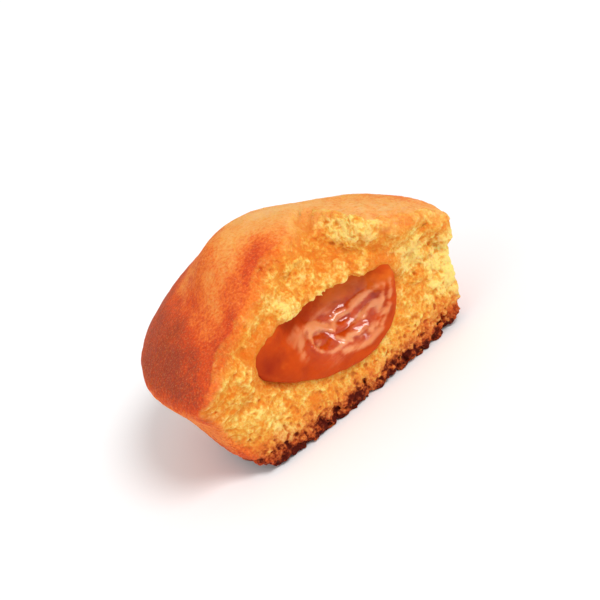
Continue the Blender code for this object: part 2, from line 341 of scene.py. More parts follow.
class Lattice:
    """Values on a regular lattice, read between its points by a cubic B-spline."""

    def __init__(self, values, origin, pitch, repeats=False):
        self.values = values.astype(np.float32)
        self.origin = np.asarray(origin, np.float32)
        self.pitch = pitch
        self.repeats = repeats

    def _cells(self, points):
        place = (points - self.origin) / np.float32(self.pitch)
        first = np.floor(place)
        return first.astype(np.int32), (place - first).astype(np.float32)

    def _wrapped(self, index, axis):
        size = self.values.shape[axis]
        return index % size if self.repeats else np.clip(index, 0, size - 1)

    def _read(self, points, taps):
        """Sum of the lattice's values by taps, a list of (step, weight function)."""
        first, part = self._cells(points)
        indices = [[self._wrapped(first[:, a] + step, a) for step, _ in taps] for a in range(3)]
        weights = [[weight(part[:, a]) for _, weight in taps] for a in range(3)]
        total = np.zeros(len(points), np.float32)
        for i, wx in zip(indices[0], weights[0]):
            for j, wy in zip(indices[1], weights[1]):
                column = (i * self.values.shape[1] + j) * self.values.shape[2]
                wxy = wx * wy
                for k, wz in zip(indices[2], weights[2]):
                    total += self.values.ravel()[column + k] * wxy * wz
        return total

    def linear(self, points):
        """Quick straight-line reading."""
        return self._read(points, [(0, lambda t: 1.0 - t), (1, lambda t: t)])

    def cubic(self, points):
        """Smooth reading."""
        return self._read(points, [
            (-1, lambda t: (1.0 - t) ** 3 / 6.0),
            (0, lambda t: (3.0 * t**3 - 6.0 * t**2 + 4.0) / 6.0),
            (1, lambda t: (-3.0 * t**3 + 3.0 * t**2 + 3.0 * t + 1.0) / 6.0),
            (2, lambda t: t**3 / 6.0),
        ])


# Random lattices repeat after so many cells. Reading them flattens this swing to about 1.
NOISE_CELLS = 32
NOISE_SWING = 2.2


def noise(rng, points, size):
    """Smooth seeded noise, about -1 to 1, with features of the given size."""
    values = rng.uniform(-NOISE_SWING, NOISE_SWING, (NOISE_CELLS,) * 3)
    return Lattice(values, rng.uniform(0, 1, 3), size * 0.5, repeats=True).cubic(points)


def cells(rng, points, size):
    """Distance to the nearest of scattered centres, in parts of size, and that centre's own random value."""
    centres = rng.uniform(0.0, 1.0, (NOISE_CELLS, NOISE_CELLS, NOISE_CELLS, 3)).astype(np.float32)
    marks = rng.uniform(0.0, 1.0, (NOISE_CELLS,) * 3).astype(np.float32)
    place = points / np.float32(size)
    home = np.floor(place).astype(np.int32)
    nearest = np.full(len(points), FAR, np.float32)
    mark = np.zeros(len(points), np.float32)
    for i in (-1, 0, 1):
        for j in (-1, 0, 1):
            for k in (-1, 0, 1):
                cell = home + np.array((i, j, k), np.int32)
                x, y, z = (cell % NOISE_CELLS).T
                apart = ((cell + centres[x, y, z] - place) ** 2).sum(1)
                closer = apart < nearest
                nearest = np.where(closer, apart, nearest)
                mark = np.where(closer, marks[x, y, z], mark)
    return np.sqrt(nearest), mark


def solid_distances(name, pitch):
    """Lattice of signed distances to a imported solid, in mm: negative inside it."""
    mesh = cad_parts[name].data
    corners = np.empty(len(mesh.vertices) * 3)
    mesh.vertices.foreach_get("co", corners)
    corners = corners.reshape(-1, 3) / MM
    tree = BVHTree.FromPolygons(corners.tolist(), [list(face.vertices) for face in mesh.polygons])
    low = corners.min(0) - REACH
    counts = np.ceil((corners.max(0) + REACH - low) / pitch).astype(int) + 1
    values = np.empty(counts)
    heights = low[1] + pitch * np.arange(counts[1])
    along = Vector((0.0, 1.0, 0.0))
    nudge = RAY_NUDGE * pitch
    for i in range(counts[0]):
        for k in range(counts[2]):
            x, z = low[0] + pitch * i, low[2] + pitch * k
            crossings = []
            start = Vector((x + nudge, low[1] - 1.0, z + nudge))
            hit = tree.ray_cast(start, along)[0]
            while hit is not None:
                crossings.append(hit.y)
                start.y = hit.y + PAST_HIT
                hit = tree.ray_cast(start, along)[0]
            inside = np.searchsorted(crossings, heights) % 2 == 1
            for j, y in enumerate(heights):
                apart = tree.find_nearest((x, y, z), REACH)[3]
                apart = REACH if apart is None else apart
                values[i, j, k] = -apart if inside[j] else apart
    return Lattice(values, low, pitch)


CORNERS = np.array([(i, j, k) for i in (0, 1) for j in (0, 1) for k in (0, 1)])


def surface_net(field):
    """Vertices, in lattice steps, and outward quads of the surface where the field changes sign."""
    inside = field < 0.0
    shape = np.array(field.shape) - 1
    filled = np.zeros(shape, np.int8)
    for i, j, k in CORNERS:
        filled += inside[i:shape[0] + i, j:shape[1] + j, k:shape[2] + k]
    active = np.argwhere((filled > 0) & (filled < 8))
    number = np.full(shape, -1, np.int32)
    number[tuple(active.T)] = np.arange(len(active))
    total = np.zeros((len(active), 3))
    crossings = np.zeros(len(active))
    axes = np.eye(3, dtype=int)
    for axis in range(3):
        for corner in CORNERS[CORNERS[:, axis] == 0]:
            start = active + corner
            a = field[tuple(start.T)]
            b = field[tuple((start + axes[axis]).T)]
            crossed = (a < 0.0) != (b < 0.0)
            part = a[crossed] / (a[crossed] - b[crossed])
            total[crossed] += start[crossed] + np.outer(part, axes[axis])
            crossings[crossed] += 1
    quads = []
    for axis in range(3):
        u, v = axes[(axis + 1) % 3], axes[(axis + 2) % 3]
        here = inside[1:-1, 1:-1, 1:-1]
        there = np.roll(inside, -1, axis)[1:-1, 1:-1, 1:-1]
        edges = np.argwhere(here != there) + 1
        leaving = inside[tuple(edges.T)]
        ring = [number[tuple((edges - step).T)] for step in (u + v, v, 0 * u, u)]
        faces = np.stack(ring, 1)
        faces[~leaving] = faces[~leaving][:, ::-1]
        quads.append(faces)
    return total / crossings[:, None], np.concatenate(quads)


def largest_part(count, quads):
    """The quads of the largest connected part."""
    label = np.arange(count)
    edges = np.concatenate([quads[:, [0, 1]], quads[:, [1, 2]], quads[:, [2, 3]], quads[:, [3, 0]]])
    while True:
        lowest = label.copy()
        np.minimum.at(lowest, edges[:, 0], label[edges[:, 1]])
        np.minimum.at(lowest, edges[:, 1], label[edges[:, 0]])
        lowest = lowest[lowest]
        if (lowest == label).all():
            break
        label = lowest
    return quads[label[quads[:, 0]] == np.bincount(label).argmax()]


def mesh_piece(name, vertices, quads, attributes):
    """A smooth-shaded object from vertices in mm, with one value per vertex for each attribute."""
    used, quads = np.unique(quads, return_inverse=True)
    quads = quads.reshape(-1, 4)
    vertices = vertices[used]
    low, high = np.array(CAD_BOX[0]) / MM, np.array(CAD_BOX[1]) / MM
    vertices = np.clip(vertices, low, high)
    mesh = bpy.data.meshes.new(name)
    mesh.from_pydata((vertices * MM).tolist(), [], quads.tolist())
    for attribute, values in attributes.items():
        layer = mesh.attributes.new(attribute, "FLOAT", "POINT")
        layer.data.foreach_set("value", values[used].astype(np.float32))
    mesh.shade_smooth()
    piece = bpy.data.objects.new(name, mesh)
    bpy.context.scene.collection.objects.link(piece)
    return piece


# ----------
# The muffin's form
# ----------
def wobble(a, b):
    """A slow uneven wave."""
    return 0.6 * np.sin(a + 1.3 * np.sin(b)) + 0.4 * np.sin(2.0 * b - a + 2.0)


def wall_radius(z, angle):
    """Radius of the wall at a height."""
    radius = BASE_RADIUS + (WALL_TOP_RADIUS - BASE_RADIUS) * z / RIM_HEIGHT
    flare = smooth((z - RIM_FLARE_START) / (RIM_HEIGHT - RIM_FLARE_START))
    radius = radius + (RIM_RADIUS - WALL_TOP_RADIUS) * flare
    below = np.clip(BASE_ROUNDING - z, 0.0, BASE_ROUNDING)
    radius = radius - (BASE_ROUNDING - np.sqrt(BASE_ROUNDING**2 - below**2))
    return radius + WALL_WOBBLE * wobble(3.0 * angle, 2.0 * angle + 0.1 * z)


def crown_height(radius, angle):
    """Height of the crown at a distance from its axis."""
    q = np.minimum(radius / RIM_RADIUS, 1.0)
    x, y = radius * np.cos(angle), radius * np.sin(angle)
    shoulder = SHOULDER_RISE - SHOULDER_LEAN * x / RIM_RADIUS
    shoulder = shoulder * (1.0 - q**SHOULDER_FULLNESS) ** SHOULDER_EDGE
    spread = PEAK_SPREAD + PEAK_SLOPE * smooth(0.5 + (x - PEAK_X) / PEAK_SLOPE_WIDTH)
    peak = PEAK_RISE * np.exp(-((np.hypot(x - PEAK_X, y - PEAK_Y) / spread) ** 2))
    turn = np.abs((angle - FOLD_ANGLE + math.pi) % (2.0 * math.pi) - math.pi)
    fold = FOLD_DEPTH * np.exp(-(((radius - FOLD_RADIUS) / FOLD_WIDTH) ** 2))
    fold = fold * (1.0 - smooth(turn / FOLD_SWEEP))
    uneven = CROWN_WOBBLE * wobble(0.22 * x, 0.19 * y)
    return RIM_HEIGHT + shoulder + (peak + uneven) * (1.0 - q**4) - fold


def skin_depth(points):
    """Depth in mm below the skin that the whole muffin had: the wall and the crown, not the flat base."""
    x, y, z = points.T
    lean = CROWN_SHIFT * smooth(z / RIM_HEIGHT)
    angle = np.arctan2(y, x - lean)
    reach = np.hypot(x - lean, y)
    wall = wall_radius(np.clip(z, 0.0, RIM_HEIGHT), angle) - reach
    radius = reach * RIM_RADIUS / wall_radius(RIM_HEIGHT, angle)
    height = crown_height(radius, angle)
    slope = (height - crown_height(np.maximum(radius - SLOPE_STEP, 0.0), angle)) / SLOPE_STEP
    crown = (height - z) / np.sqrt(1.0 + slope**2)
    return np.where(z > RIM_HEIGHT, np.minimum(wall, crown), wall)


def patch(points, centre, across, along=(1.0, 0.0, 0.0), length=None):
    """A soft spot: 1 at its centre, fading over across mm, or over length mm along a direction."""
    offset = points - np.array(centre)
    along = np.array(along) / np.linalg.norm(along)
    run = offset @ along
    side2 = (offset**2).sum(1) - run**2
    return np.exp(-(run / (length or across)) ** 2 - side2 / across**2)


def patches(points, spots):
    """Sum of soft spots: centre, radius and strength of each, and of a long one its direction and length."""
    return sum(strength * patch(points, centre, across, *run) for centre, across, strength, *run in spots)


def looseness(points):
    """How far the skin may break up at a place, from 0 to 1."""
    return np.minimum(LOOSE_EDGE + sum(patch(points, *spot) for spot in CRUMBLY_SKIN), 1.0)


def browning(points, rng):
    """How far the skin browned, from 0, pale, over golden and red to 1, dark brown."""
    x, y, z = points.T
    # The shoulder's dark part lies left of a line across the crown, with a red-orange band before it.
    left_of_line = -0.887 * (x + 14.5) + 0.462 * (y - 15.5)
    streaks = noise(rng, points @ SHOULDER_STREAKS, 2.4)
    high = smooth((z - 18.6 + 2.0 * noise(rng, points, 7.0)) / 5.5)
    # Out of the front's sight the line gives way to an uneven, softer change.
    behind = smooth((y - 8.0) / 12.0)
    left_of_line = left_of_line + behind * (4.0 * noise(rng, points, 12.0) + 2.0 * noise(rng, points, 5.0))
    band = smooth((left_of_line + 12.0 + 4.0 * behind) / (6.0 + 9.0 * behind)) * high
    shoulder = smooth((left_of_line + 2.5 + 1.2 * streaks) / 9.0) * high
    amount = 0.3 + 0.06 * noise(rng, points, 9.0) + 0.06 * noise(rng, points, 3.0) + 0.03 * streaks
    amount = amount + 0.24 * band + 0.34 * shoulder + 0.17 * (1.0 - high)
    amount = amount + patches(points, BROWNED_SPOTS) + 0.32 * smooth((12.0 - z) / 10.0)
    return np.clip(amount, 0.0, 1.0)


def in_lattice(field, steps):
    """Reads a plain array at places given in lattice steps."""
    return Lattice(field, (0.0, 0.0, 0.0), 1.0).linear(steps.astype(np.float32))


def blurred(field, radius):
    """The field averaged over a box of lattice points."""
    for axis in range(3):
        size = 2 * radius + 1
        padded = np.pad(field, [(radius + 1, radius) if a == axis else (0, 0) for a in range(3)], mode="edge")
        sums = np.cumsum(padded, axis, dtype=np.float64)
        upper = np.take(sums, np.arange(size, sums.shape[axis]), axis)
        lower = np.take(sums, np.arange(0, sums.shape[axis] - size), axis)
        field = ((upper - lower) / size).astype(np.float32)
    return field


class FineLattice:
    """Lattice that is fine at the torn face and spreads towards the back."""

    def __init__(self, low, high, pitch):
        depths = [low[1] - 1.5 * pitch]
        while depths[-1] < high[1] + 1.5 * pitch * SPREAD_AT_BACK:
            depths.append(depths[-1] + pitch * self.spread(depths[-1]))
        self.depths = np.array(depths)
        left, right = low[0] - LATTICE_CENTRE_X, high[0] - LATTICE_CENTRE_X
        self.across = np.arange(left - 2 * pitch, right + 3 * pitch, pitch)
        self.heights = pitch * np.arange(-2, int(high[2] / pitch) + 3)

    @staticmethod
    def spread(depth):
        """How many times wider than at the front the lattice is."""
        return 1.0 + (SPREAD_AT_BACK - 1.0) * smooth((np.asarray(depth) - FINE_FRONT) / SPREAD_LENGTH)

    @property
    def shape(self):
        """Number of points along x, y and z."""
        return len(self.across), len(self.depths), len(self.heights)

    def places(self, steps):
        """Points in mm for places given in lattice steps."""
        y = np.interp(steps[:, 1], np.arange(len(self.depths)), self.depths)
        spread = self.spread(y)
        x = LATTICE_CENTRE_X + np.interp(steps[:, 0], np.arange(len(self.across)), self.across) * spread
        z = np.interp(steps[:, 2], np.arange(len(self.heights)), self.heights) * spread
        return np.stack([x, y, z], 1).astype(np.float32)


def torn_share(cake):
    """Lattice of the share of the whole muffin, close to each place, that was torn away."""
    places = cake.origin + np.indices(cake.values.shape).reshape(3, -1).T.astype(np.float32) * cake.pitch
    edge = 2.0 * cake.pitch
    whole = np.clip(0.5 + skin_depth(places) / edge, 0.0, 1.0).reshape(cake.values.shape)
    left = np.clip(0.5 - cake.values / edge, 0.0, 1.0)
    whole_near, left_near = blurred(whole, TORN_REACH), blurred(left, TORN_REACH)
    share = 1.0 - left_near / np.maximum(whole_near, 0.02)
    return Lattice(np.clip(share, 0.0, 1.0), cake.origin, cake.pitch)


def bulge(field, radius, vertices):
    """Mean distance from the surface around each vertex: above 0 on a bulge, below 0 in a hollow."""
    return in_lattice(blurred(np.clip(field, -BULGE_REACH, BULGE_REACH), radius), vertices)


# Distance between air bubbles, in mm: large ones anywhere, small ones in the dense crumb near the base.
BUBBLE_SPACING = 2.4
SMALL_BUBBLE_SPACING = 0.95


def crumb_relief(points, settings, rng):
    """How far the torn surface stands back from the solid, in mm, at points near it."""
    z = points[:, 2]
    bend = np.stack([noise(rng, points, 2.4) for _ in range(3)], 1) * 0.3
    bent = points + bend
    back = 0.08 + 0.4 * noise(rng, bent, 5.5) - 0.3 * np.abs(noise(rng, bent, 3.2))
    nearest, _ = cells(rng, bent, settings.puff_size / MM)
    back = back + settings.puff_relief / MM * (1.7 * nearest**2 - 0.5)
    # Grains: thin ridges round shallow pits, and a fine roughness over all.
    grain = settings.grain_size / MM
    ridges = 0.4 - np.abs(noise(rng, bent, 2.0 * grain))
    back = back - settings.grain_relief / MM * (0.65 * ridges + 0.75 * noise(rng, points, grain))
    bubbles, size = cells(rng, points, BUBBLE_SPACING)
    radius = settings.pore_size / MM * smooth(size * 2.5 - 1.3)
    back = back + np.clip(radius + 0.2 - bubbles * BUBBLE_SPACING, 0.0, 0.7) * 1.3
    small, size = cells(rng, points, SMALL_BUBBLE_SPACING)
    dense = smooth((11.5 - z) / 5.0)
    return back + dense * np.clip(0.5 * size + 0.02 - small * SMALL_BUBBLE_SPACING, 0.0, 0.35) * 1.3


def char_relief(points, rng):
    """Crags and creases of the burnt edge at the foot of the torn face, in mm."""
    y, z = points[:, 1], points[:, 2]
    crags, _ = cells(rng, points, 2.0)
    small, _ = cells(rng, points, 0.95)
    band = smooth((5.2 - z) / 2.6) * smooth((-2.5 - y) / 2.5)
    return band * (1.3 * (crags**2 - 0.25) + 0.6 * (small**2 - 0.25))


def chain_distance(points, chain):
    """Distance from each point to a chain of straight stretches, in a plane or in space."""
    nearest = np.full(len(points), FAR, np.float32)
    for start, end in zip(chain, chain[1:]):
        start, run = np.array(start), np.array(end) - np.array(start)
        part = np.clip((points - start) @ run / (run @ run), 0.0, 1.0)
        nearest = np.minimum(nearest, np.linalg.norm(points - start - part[:, None] * run, axis=1))
    return nearest


def joined(first, second, softness):
    """Two distances united, with the join rounded over softness mm."""
    part = np.clip(0.5 + 0.5 * (second - first) / softness, 0.0, 1.0)
    return second + (first - second) * part - softness * part * (1.0 - part)


def tone(points, rng):
    """Warmth of the crumb: above 0 it is orange, below 0 it is pale lemon."""
    return 0.22 * noise(rng, points, 7.0) + 0.14 * noise(rng, points, 3.0) + patches(points, CRUMB_TONES)


def decimated(piece, most):
    """Thins the piece's mesh to at most so many triangles, first where it is smooth, inside the CAD box."""
    piece.data.update()
    modifier = piece.modifiers.new("Thin out", "DECIMATE")
    modifier.ratio = most / (2.0 * len(piece.data.polygons))
    evaluated = piece.evaluated_get(bpy.context.evaluated_depsgraph_get())
    mesh = bpy.data.meshes.new_from_object(evaluated)
    piece.modifiers.clear()
    coarse = piece.data
    piece.data = mesh
    bpy.data.meshes.remove(coarse)
    corners = np.empty(len(mesh.vertices) * 3, np.float32)
    mesh.vertices.foreach_get("co", corners)
    corners = np.clip(corners.reshape(-1, 3), *CAD_BOX)
    mesh.vertices.foreach_set("co", corners.astype(np.float32).ravel())
    mesh.shade_smooth()
    return piece


def skin_relief(points, rng):
    """How far the skin stands back from the solid, in mm: creases on the crown over a fine roughness."""
    z = points[:, 2]
    wrinkles = noise(rng, points @ WRINKLE_STRETCH, 2.0)
    creases = smooth(1.0 - np.abs(wrinkles) * 3.0) * smooth((z - 29.0) / 4.0)
    # It is rougher near the base and on the lobe, where the crumb shows through.
    rough = 0.1 + 0.22 * smooth((9.0 - z) / 8.0) + 0.17 * patch(points, *LOBE)
    return 0.1 * creases + rough * noise(rng, points, 1.1) + 0.12 * noise(rng, points, 4.5)


def cake_field(places, cake, jam, torn, settings):
    """Distance in mm from each place to the finished surface of torn crumb, skin and burnt edge."""
    field = cake.linear(places)
    near = np.abs(field) < NEAR_SURFACE
    points = places[near]
    body = cake.cubic(points)
    depth = skin_depth(points)
    rng = np.random.default_rng(settings.seed)
    # The skin keeps its form up to a ragged line beside the tear. The crumb keeps to the pocket's wall.
    share = torn.cubic(points) + 0.07 * noise(rng, points, 2.6) + 0.05 * noise(rng, points, 1.3)
    crumb = np.maximum(smooth((depth - 0.3) / 0.7), looseness(points) * smooth((share - 0.12) / 0.15))
    for chain, radius in CRUMB_LUMPS:
        lump = chain_distance(points, chain) - radius
        crumb = np.maximum(crumb, smooth(1.0 - lump))
        body = joined(body, lump, LUMP_SOFTNESS)
    crumb = crumb * smooth((jam.cubic(points) - 0.3) / 2.4) * smooth(points[:, 2] / 1.2)
    relief = np.zeros(len(points), np.float32)
    here = crumb > 0.02
    relief[here] = crumb_relief(points[here], settings, rng)
    here = (points[:, 2] < 4.5) & (points[:, 1] < -2.0)
    char = np.zeros(len(points), np.float32)
    char[here] = char_relief(points[here], rng)
    skin = (1.0 - crumb) * skin_relief(points, rng) * smooth(points[:, 2] / 2.0)
    body = body + crumb * relief + char + skin
    field[near] = np.maximum(body, -points[:, 2])
    return field


def cake_values(placed, vertices, field, jam, torn, settings):
    """What the cake's finish needs to know at each vertex, by attribute."""
    x, z = placed[:, 0], placed[:, 2]
    depth = skin_depth(placed)
    rng = np.random.default_rng(settings.seed + 2)
    share = torn.cubic(placed) + 0.07 * noise(rng, placed, 2.2) + 0.05 * noise(rng, placed, 1.2)
    skin = (1.0 - smooth((depth - 0.3) / 1.8)) * (1.0 - looseness(placed) * smooth((share - 0.14) / 0.2))
    # The burnt edge is higher at both ends and uneven all along.
    foot = 1.6 * smooth((-10.0 - x) / 12.0) + 1.0 * smooth((x - 13.0) / 8.0)
    foot = foot + 0.7 * noise(rng, placed, 5.0)
    browned = browning(placed, rng)
    warmth = tone(placed, rng)
    return {
        "skin": skin,
        "skin_depth": depth,
        "fine_bulge": bulge(field, 2, vertices),
        "wide_bulge": bulge(field, 5, vertices),
        "from_jam": jam.cubic(placed) + 1.5 * smooth((16.0 - z) / 5.0),
        "browning": browned + 0.15 * noise(rng, placed, 1.4) * patch(placed, *LOBE),
        "tone": warmth,
        "height": z - foot,
        "embers": smooth((x - 11.0) / 9.0),
    }


def grow_cake(settings):
    """The cake's fine mesh and what its finish needs to know at each vertex."""
    cake = solid_distances("cake", COARSE_PITCH)
    jam = solid_distances("jam_filling", COARSE_PITCH)
    torn = torn_share(cake)
    low, high = (np.array(corner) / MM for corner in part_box("cake"))
    fine = FineLattice(low, high, FINE_PITCH)
    steps = np.indices(fine.shape, dtype=np.float32).reshape(3, -1).T
    field = cake_field(fine.places(steps), cake, jam, torn, settings).reshape(fine.shape)
    vertices, quads = surface_net(field)
    quads = largest_part(len(vertices), quads)
    placed = fine.places(vertices)
    return placed, quads, cake_values(placed, vertices, field, jam, torn, settings)


def grow_jam(settings):
    """The jam's fine mesh, with its folds and wrinkles, and what its finish needs to know at each vertex."""
    jam = solid_distances("jam_filling", JAM_COARSE_PITCH)
    low, high = (np.array(corner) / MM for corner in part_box("jam_filling"))
    low = low - JAM_MARGIN
    counts = np.ceil((high + JAM_MARGIN - low) / JAM_PITCH).astype(int)
    steps = np.indices(counts, dtype=np.float32).reshape(3, -1).T
    places = (low + steps * JAM_PITCH).astype(np.float32)
    rng = np.random.default_rng(settings.seed)
    edge = 0.2 * noise(rng, places, 3.0)
    hollow = patches(places, JAM_HOLLOW)
    field = jam.cubic(places) - settings.overlap / MM + edge
    for size, part in ((3.0, 1.0), (1.5, 0.3)):
        field = field - settings.wrinkle / MM * part * np.abs(noise(rng, places @ JAM_STRETCH, size)) * hollow
    # A fold is 1 on its crest and falls to 0 beside it, at any depth.
    crest = np.zeros(len(places))
    for line, height, half_width in JAM_FOLDS:
        fold = np.exp(-(chain_distance(places[:, ::2], line) / half_width) ** 2)
        crest = np.maximum(crest, fold)
        field = field - height * fold
    field = field.reshape(counts)
    vertices, quads = surface_net(field)
    quads = largest_part(len(vertices), quads)
    placed = (low + vertices * JAM_PITCH).astype(np.float32)
    return placed, quads, {
        "bulge": bulge(field, 3, vertices),
        "crest": in_lattice(crest.reshape(counts), vertices),
        "hollow": patches(placed, JAM_HOLLOW),
        "ends": patches(placed, JAM_SHADED_ENDS),
        "film": patches(placed, JAM_FILM),
    }


# ----------
# Materials
# ----------
class Signal:
    """A shader socket that takes part in sums."""

    def __init__(self, finish, socket):
        self.finish = finish
        self.socket = socket

    def _with(self, operation, first, second):
        return self.finish.node("ShaderNodeMath", {"operation": operation}, {0: first, 1: second})

    def __add__(self, other):
        return self._with("ADD", self, other)

    __radd__ = __add__

    def __mul__(self, other):
        return self._with("MULTIPLY", self, other)

    __rmul__ = __mul__

    def __sub__(self, other):
        return self._with("SUBTRACT", self, other)

    def __rsub__(self, other):
        return self._with("SUBTRACT", other, self)


class Finish:
    """A material under construction."""

    def __init__(self, name):
        self.material = bpy.data.materials.new(name)
        self.material.use_nodes = True
        self.tree = self.material.node_tree
        self.tree.nodes.clear()

    def node(self, kind, settings=None, inputs=None, output=0):
        """Adds a node, sets it up, feeds its sockets and returns one of its outputs."""
        made = self.tree.nodes.new(kind)
        for setting, value in (settings or {}).items():
            if setting == "stops":
                self._set_stops(made.color_ramp, value)
            else:
                setattr(made, setting, value)
        for socket, value in (inputs or {}).items():
            if isinstance(value, Signal):
                self.tree.links.new(value.socket, made.inputs[socket])
            else:
                made.inputs[socket].default_value = value
        return Signal(self, made.outputs[output]) if made.outputs else None

    @staticmethod
    def _set_stops(ramp, stops):
        while len(ramp.elements) < len(stops):
            ramp.elements.new(1.0)
        for element, (position, shade) in zip(ramp.elements, stops):
            element.position = position
            element.color = (*shade, 1.0)

    def attribute(self, name):
        """A value that the mesh carries."""
        return self.node("ShaderNodeAttribute", {"attribute_name": name}, output="Fac")

    def noise(self, size, detail=3.0, stretch=(1.0, 1.0, 1.0)):
        """Noise about 0 in the object's own space, with features of the given size in mm."""
        place = self.node("ShaderNodeTexCoord", output="Object")
        place = self.node("ShaderNodeMapping", None, {"Vector": place, "Scale": stretch})
        inputs = {"Vector": place, "Scale": 1.0 / (size * MM), "Detail": detail}
        return self.node("ShaderNodeTexNoise", None, inputs) - 0.5

    def ramp(self, value, start, end):
        """0 at start, 1 at end, with a soft step between them."""
        inputs = {0: value, 1: start, 2: end, 3: 0.0, 4: 1.0}
        return self.node("ShaderNodeMapRange", {"interpolation_type": "SMOOTHSTEP"}, inputs)

    def bump(self, height, strength, distance):
        """A normal tilted by a height."""
        inputs = {"Height": height, "Strength": strength, "Distance": distance}
        return self.node("ShaderNodeBump", None, inputs)

    def mix(self, factor, first, second):
        """Two colours mixed."""
        first, second = (shade if isinstance(shade, Signal) else (*shade, 1.0) for shade in (first, second))
        return self.node("ShaderNodeMix", {"data_type": "RGBA"}, {0: factor, 6: first, 7: second}, 2)

    def surface(self, inputs):
        """Closes the material with a Principled shader."""
        shader = self.node("ShaderNodeBsdfPrincipled", None, inputs)
        self.node("ShaderNodeOutputMaterial", None, {"Surface": shader})
        return self.material


class CakeSignals:
    """The values that the shades of crumb, skin and burnt foot share."""

    def __init__(self, finish):
        self.height = finish.attribute("height")
        self.depth = finish.attribute("skin_depth")
        self.tone = finish.attribute("tone")
        self.bulge = finish.attribute("wide_bulge") * 0.5 + finish.attribute("fine_bulge")
        self.grain = finish.noise(0.5)
        self.speckle = finish.noise(0.55)
        self.mottle = finish.noise(2.0)
        self.cloud = finish.noise(3.6)


def crumb_shade(finish, crumb, at):
    """Painted shade: light yellow on bulges, orange in hollows; warmer or paler by place, and stained round
    the jam.
    """
    # The bulges and hollows set a painted shade; tone and noise give the crumb's own warmer and paler places.
    light = at.bulge * 1.1 - (at.tone + at.cloud * 2.0) * 0.42 + at.grain * 0.8 + at.mottle * 1.6 - 0.03
    shade = finish.mix(finish.ramp(light, -0.42, 0.1), crumb.hollow, crumb.middle)
    shade = finish.mix(finish.ramp(light, -0.05, 0.3), shade, crumb.top)
    shade = finish.mix(finish.ramp(light, 0.22, 0.5), shade, crumb.lemon)
    # A painted warm shade in the hollows.
    shade = finish.mix(finish.ramp(at.bulge, 0.05, -0.35) * 0.5, shade, crumb.middle)
    # Towards the base it is toasted, and a painted shade darkens its pores.
    toasted = finish.ramp(at.height + at.cloud * 5.0 + at.mottle * 3.0, 9.0, 2.0)
    shade = finish.mix(toasted * 0.5, shade, crumb.toasted)
    pore_shade = finish.ramp(at.bulge + at.grain * 0.2, -0.02, -0.26) * finish.ramp(at.height, 11.0, 5.0)
    shade = finish.mix(pore_shade * 0.6, shade, crumb.pore_shade)
    stain = finish.ramp(finish.attribute("from_jam") + at.grain * 1.6 + at.cloud * 3.0, 3.6, 0.5)
    return finish.mix(stain * 0.85, shade, crumb.stained)


def skin_shade(finish, crust, at):
    """Browned skin, with fine pale grit all over it and dark specks low on the wall."""
    browning = finish.attribute("browning") + at.speckle * 0.55 + at.cloud * 0.14
    stops = (
        (0.05, crust.pale), (0.32, crust.golden), (0.5, crust.orange), (0.68, crust.red), (0.98, crust.brown),
    )
    shade = finish.node("ShaderNodeValToRGB", {"stops": stops}, {0: browning})
    grit = finish.ramp(finish.noise(0.3, 2.0), 0.02, 0.22)
    shade = finish.mix(grit * 0.22, shade, crust.pale)
    specks = finish.ramp(at.speckle + at.grain * 0.5, 0.04, 0.2) * finish.ramp(at.height, 14.0, 5.0)
    return finish.mix(specks * 0.7, shade, crust.brown)


def burnt_shade(finish, crumb, at, edge, shade):
    """The shade, turned ember red towards the foot, with dark maroon pits between the lowest crags: char,
    deepened by a painted shade in hollows and pits.
    """
    low = at.height + at.cloud * 3.0 + at.mottle * 4.5 + at.grain * 2.0 + at.bulge * 1.6 + edge * 1.2
    lit = finish.mix(finish.ramp(low, 4.2, 1.2), crumb.ember, crumb.crag)
    shade = finish.mix(finish.ramp(low, 6.0, 2.0) * 0.9, shade, lit)
    # The burnt colour is strongest in the pits: char, partly a painted shade.
    pit_char_and_shade = finish.ramp(at.bulge + at.height * 0.14 + at.mottle * 3.0 + at.grain * 1.2, 0.75, 0.05)
    charred = finish.ramp(low + finish.attribute("embers") * 1.2, 4.6, 1.4)
    return finish.mix(charred * (pit_char_and_shade * 0.72 + 0.25), shade, crumb.burnt)


def cake_finish(crumb, crust):
    """Soft yellow crumb under a browned skin, burnt at its foot."""
    finish = Finish("crumb_and_crust")
    at = CakeSignals(finish)
    shade = crumb_shade(finish, crumb, at)
    skin = skin_shade(finish, crust, at)
    # Beside the skin the crumb has taken some of its colour, except where it is palest.
    soaked = finish.ramp(at.depth + at.grain * 1.6 + at.cloud * 3.0, 3.6, 0.2)
    soaked = soaked * finish.ramp(at.tone + at.cloud * 0.5, -0.4, 0.2)
    shade = finish.mix(soaked * 0.65, shade, skin)
    edge = finish.ramp(finish.attribute("skin") + at.grain * 0.5 + at.bulge * 0.5, 0.15, 0.85)
    shade = burnt_shade(finish, crumb, at, edge, finish.mix(edge, shade, skin))
    return finish.surface({
        "Base Color": shade, "Roughness": 0.85 - edge * 0.2,
        "Normal": finish.bump(at.grain + at.speckle, 1.0, 0.0004),
        "Subsurface Weight": 0.62, "Subsurface Radius": (1.0, 0.42, 0.12), "Subsurface Scale": 0.0018,
        "Specular IOR Level": 0.08,
    })


